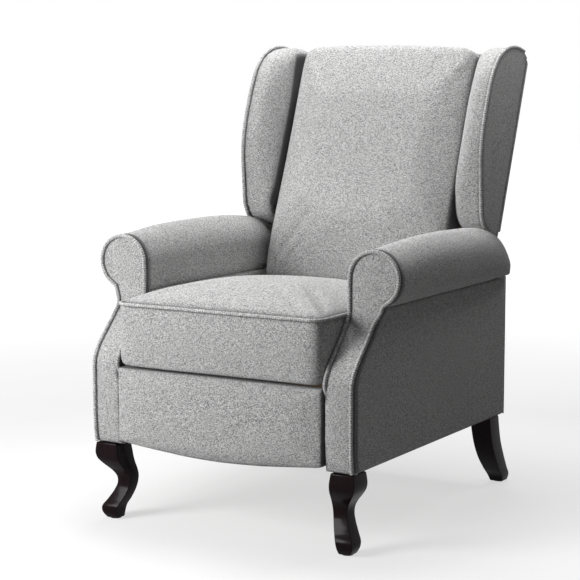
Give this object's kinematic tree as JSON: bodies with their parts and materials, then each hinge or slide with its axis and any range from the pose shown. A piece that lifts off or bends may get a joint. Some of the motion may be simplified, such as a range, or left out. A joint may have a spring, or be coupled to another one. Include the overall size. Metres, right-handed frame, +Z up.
{
  "type": "push-back wingback recliner",
  "caption": "Grey upholstered wingback armchair with rolled arms and cabriole legs; the back reclines as the seat glides, and a footrest folds out on steel links.",
  "frame": {"origin": "on the floor, at the middle of the bounding box", "axes": "+X is the chair's right side as seen by someone facing it, -Y is the front that the sitter faces, +Z is up"},
  "size_m": [0.76, 0.9013, 1.058],
  "materials": {
    "upholstery_fabric": "grey melange plain weave, matte",
    "fabric_piping": "self-fabric covered piping cord, matte",
    "dark_leg_wood": "dark espresso stain, semi-gloss",
    "frame_wood": "plain sawn frame timber and plywood, unfinished",
    "dark_steel": "black painted pressed steel",
    "zinc_steel": "bright zinc plated steel",
    "elastic_webbing": "black woven elastic webbing"
  },
  "bodies": {
    "base": {"right_side_board": "frame_wood", "left_side_board": "frame_wood", "right_outer_arm_panel": "upholstery_fabric", "left_outer_arm_panel": "upholstery_fabric", "right_arm_frame": "frame_wood", "left_arm_frame": "frame_wood", "right_arm_front_panel": "upholstery_fabric", "left_arm_front_panel": "upholstery_fabric", "right_arm_roll": "upholstery_fabric", "left_arm_roll": "upholstery_fabric", "right_arm_piping": "fabric_piping", "left_arm_piping": "fabric_piping", "right_front_leg": "dark_leg_wood", "left_front_leg": "dark_leg_wood", "right_rear_leg": "dark_leg_wood", "left_rear_leg": "dark_leg_wood", "right_base_plate": "dark_steel", "left_base_plate": "dark_steel", "front_stretcher": "frame_wood", "rear_stretcher": "frame_wood", "rear_lower_panel": "upholstery_fabric"},
    "front_swing_links": {"right_front_swing_link": "zinc_steel", "left_front_swing_link": "zinc_steel"},
    "rear_swing_links": {"right_rear_swing_link": "zinc_steel", "left_rear_swing_link": "zinc_steel"},
    "back_control_links": {"right_back_control_link": "zinc_steel", "left_back_control_link": "zinc_steel"},
    "seat": {"right_seat_rail": "dark_steel", "left_seat_rail": "dark_steel", "seat_cushion": "upholstery_fabric", "seat_welt": "fabric_piping", "seat_frame": "frame_wood", "seat_springs": "zinc_steel"},
    "back": {"right_wing_board": "upholstery_fabric", "left_wing_board": "upholstery_fabric", "right_wing_pad": "upholstery_fabric", "left_wing_pad": "upholstery_fabric", "right_wing_piping": "fabric_piping", "left_wing_piping": "fabric_piping", "right_back_bracket": "dark_steel", "left_back_bracket": "dark_steel", "back_cushion": "upholstery_fabric", "back_webbing": "elastic_webbing", "back_frame": "frame_wood", "back_outer_panel": "upholstery_fabric"},
    "drive_links": {"right_footrest_drive_link": "zinc_steel", "left_footrest_drive_link": "zinc_steel", "torque_tube": "dark_steel"},
    "outer_links": {"right_footrest_outer_link": "zinc_steel", "left_footrest_outer_link": "zinc_steel"},
    "guide_links": {"right_footrest_guide_link": "zinc_steel", "left_footrest_guide_link": "zinc_steel"},
    "rocker_links": {"right_footrest_rocker_link": "zinc_steel", "left_footrest_rocker_link": "zinc_steel"},
    "footrest": {"right_footrest_bracket": "dark_steel", "left_footrest_bracket": "dark_steel", "footrest_pad": "upholstery_fabric", "footrest_board": "frame_wood"}
  },
  "joints": [
    {"name": "back_recline", "type": "hinge", "parent": "seat", "child": "back", "pos_m": [0, 0.2294, 0.418], "axis": [-1, 0, 0], "range_deg": [0, 30]},
    {"name": "front_swing", "type": "hinge", "parent": "base", "child": "front_swing_links", "pos_m": [0, -0.23075, 0.33066], "axis": [1, 0, 0], "range_deg": [0, 30]},
    {"name": "seat_glide", "type": "hinge", "parent": "front_swing_links", "child": "seat", "pos_m": [0, -0.1906, 0.388], "axis": [-1, 0, 0], "range_deg": [0, 30]},
    {"name": "rear_swing", "type": "hinge", "parent": "base", "child": "rear_swing_links", "pos_m": [0, 0.12925, 0.33066], "axis": [1, 0, 0], "range_deg": [0, 30]},
    {"name": "back_control", "type": "hinge", "parent": "base", "child": "back_control_links", "pos_m": [0, 0.1211, 0.4102], "axis": [1, 0, 0], "range_deg": [0, 25]},
    {"name": "footrest_extension", "type": "hinge", "parent": "seat", "child": "drive_links", "pos_m": [0, -0.3306, 0.393], "axis": [-1, 0, 0], "range_deg": [0, 85]},
    {"name": "outer_link_fold", "type": "hinge", "parent": "drive_links", "child": "outer_links", "pos_m": [0, -0.3326, 0.19], "axis": [-1, 0, 0], "range_deg": [-170, 0]},
    {"name": "guide_link_fold", "type": "hinge", "parent": "drive_links", "child": "guide_links", "pos_m": [0, -0.34069, 0.22508], "axis": [-1, 0, 0], "range_deg": [-170, 0]},
    {"name": "rocker_swing", "type": "hinge", "parent": "seat", "child": "rocker_links", "pos_m": [0, -0.3672, 0.3506], "axis": [-1, 0, 0], "range_deg": [0, 98.5]},
    {"name": "footrest_tilt", "type": "hinge", "parent": "outer_links", "child": "footrest", "pos_m": [0, -0.3706, 0.307], "axis": [-1, 0, 0], "range_deg": [0, 170]}
  ],
  "couplings": [
    {"joint": "front_swing", "follows": "back_recline", "ratio": 1},
    {"joint": "seat_glide", "follows": "back_recline", "ratio": 1},
    {"joint": "rear_swing", "follows": "back_recline", "ratio": 1},
    {"joint": "back_control", "follows": "back_recline", "ratio": 0.83},
    {"joint": "outer_link_fold", "follows": "footrest_extension", "ratio": -2},
    {"joint": "guide_link_fold", "follows": "footrest_extension", "ratio": -2},
    {"joint": "rocker_swing", "follows": "footrest_extension", "ratio": 1.158},
    {"joint": "footrest_tilt", "follows": "footrest_extension", "ratio": 2}
  ]
}
